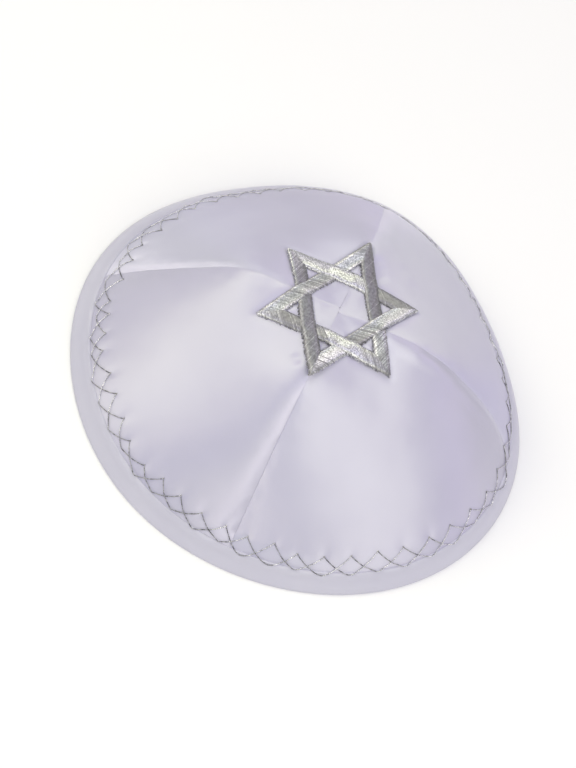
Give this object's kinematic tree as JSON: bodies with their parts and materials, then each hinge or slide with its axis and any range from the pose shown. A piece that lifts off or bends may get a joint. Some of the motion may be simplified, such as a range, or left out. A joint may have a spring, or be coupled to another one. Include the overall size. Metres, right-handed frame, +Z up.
{
  "type": "kippah skullcap",
  "caption": "Round satin skullcap of cloth panels with a folded hem band and a raised hexagram on its crown.",
  "frame": {"origin": "on the floor, at the middle of the box round the cap's rim", "axes": "+Z up through the crown, +X to the cap's right, -Y towards the near side"},
  "size_m": [0.1709, 0.1624, 0.0589],
  "materials": {
    "panel_satin": "white satin with a faint lavender cast",
    "hem_satin": "the same white satin, folded into a smooth hem",
    "silver_thread": "metallic silver embroidery thread"
  },
  "bodies": {
    "root": {"panel_front_left": "panel_satin", "panel_front_right": "panel_satin", "panel_back_left": "panel_satin", "panel_back_right": "panel_satin", "hem_band": "hem_satin", "star_embroidery": "silver_thread"}
  },
  "joints": []
}
